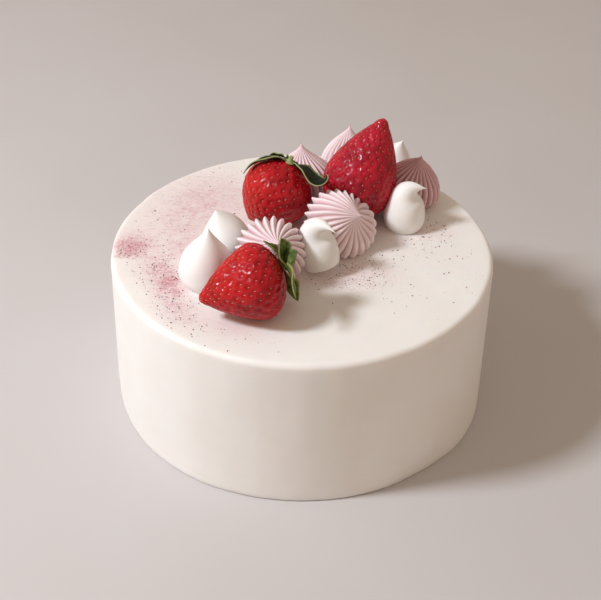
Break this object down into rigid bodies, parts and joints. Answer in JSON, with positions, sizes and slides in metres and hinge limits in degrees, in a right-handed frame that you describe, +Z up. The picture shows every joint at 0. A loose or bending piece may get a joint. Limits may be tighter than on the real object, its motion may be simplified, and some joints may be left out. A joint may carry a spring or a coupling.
{
  "type": "mascarpone cake",
  "caption": "Round cake under smooth pale cream, topped with a crescent of pink ridged and white smooth piped kisses and whole strawberries.",
  "frame": {"origin": "on the surface that the cake stands on, under the middle of its round foot", "axes": "+Z up through the cake, +X to the right and -Y towards the side that is looked at first"},
  "size_m": [0.1804, 0.1804, 0.1277],
  "materials": {
    "whipped_cream": "smooth matt cream with a dusting of pink powder",
    "pink_piping": "satin piped cream, pale pink",
    "white_piping": "satin piped cream, warm white",
    "strawberry_skin": "glossy pitted fruit skin",
    "strawberry_leaf": "matt veined leaf"
  },
  "bodies": {
    "root": {"cake_body": "whipped_cream", "pink_kiss_front": "pink_piping", "pink_kiss_middle": "pink_piping", "pink_kiss_back_left": "pink_piping", "pink_kiss_back": "pink_piping", "pink_kiss_right": "pink_piping", "white_kiss_front": "white_piping", "white_kiss_left": "white_piping", "white_kiss_middle": "white_piping", "white_kiss_right": "white_piping", "white_kiss_back": "white_piping", "strawberry_left": "strawberry_skin", "strawberry_back": "strawberry_skin", "strawberry_front": "strawberry_skin", "calyx_left": "strawberry_leaf", "calyx_front": "strawberry_leaf"}
  },
  "joints": []
}
